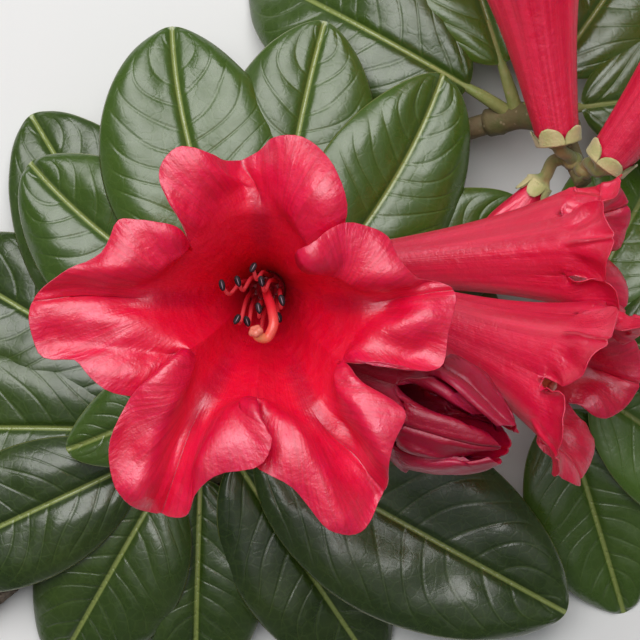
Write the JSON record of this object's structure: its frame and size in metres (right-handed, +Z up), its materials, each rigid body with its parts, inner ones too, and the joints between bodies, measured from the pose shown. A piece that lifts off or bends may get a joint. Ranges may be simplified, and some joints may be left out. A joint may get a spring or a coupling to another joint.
{
  "type": "cut rhododendron sprig",
  "caption": "Cut flowering branch of a shrub lying down: woody stem with side shoots, whorls of leathery leaves and trusses of red trumpet-shaped blooms.",
  "frame": {"origin": "middle of the branch's box, on the surface it lies on", "axes": "+X along the branch's longest extent, from its cut end towards its tips; +Z up, the way the main bloom looks"},
  "size_m": [0.1856, 0.162, 0.0813],
  "materials": {
    "petal": "soft waxy crimson",
    "filament": "smooth crimson, dark at the anthers",
    "style": "smooth moist salmon",
    "stalk": "fine downy green with a cream calyx",
    "bark": "matte, cracked grey-brown bark",
    "shoot": "smooth young green-brown bark",
    "leaf": "glossy leathery dark green"
  },
  "bodies": {
    "root": {"bloom_1_corolla": "petal", "bloom_1_stamens": "filament", "bloom_1_pistil": "style", "bloom_1_stalk": "stalk", "bloom_2_corolla": "petal", "bloom_2_stamens": "filament", "bloom_2_pistil": "style", "bloom_2_stalk": "stalk", "bloom_3_corolla": "petal", "bloom_3_stamens": "filament", "bloom_3_pistil": "style", "bloom_3_stalk": "stalk", "bloom_4_corolla": "petal", "bloom_4_stalk": "stalk", "side_bloom_1_corolla": "petal", "side_bloom_1_stalk": "stalk", "side_bloom_2_corolla": "petal", "side_bloom_2_stalk": "stalk", "side_bud_corolla": "petal", "side_bud_stalk": "stalk", "right_bud_corolla": "petal", "right_bud_stalk": "stalk", "main_stem": "bark", "front_shoot": "shoot", "side_shoot": "shoot", "right_shoot": "shoot", "front_rachis": "shoot", "side_rachis": "shoot", "right_rachis": "shoot", "lower_whorl": "leaf", "front_whorl": "leaf", "side_whorl": "leaf", "right_whorl": "leaf"}
  },
  "joints": []
}
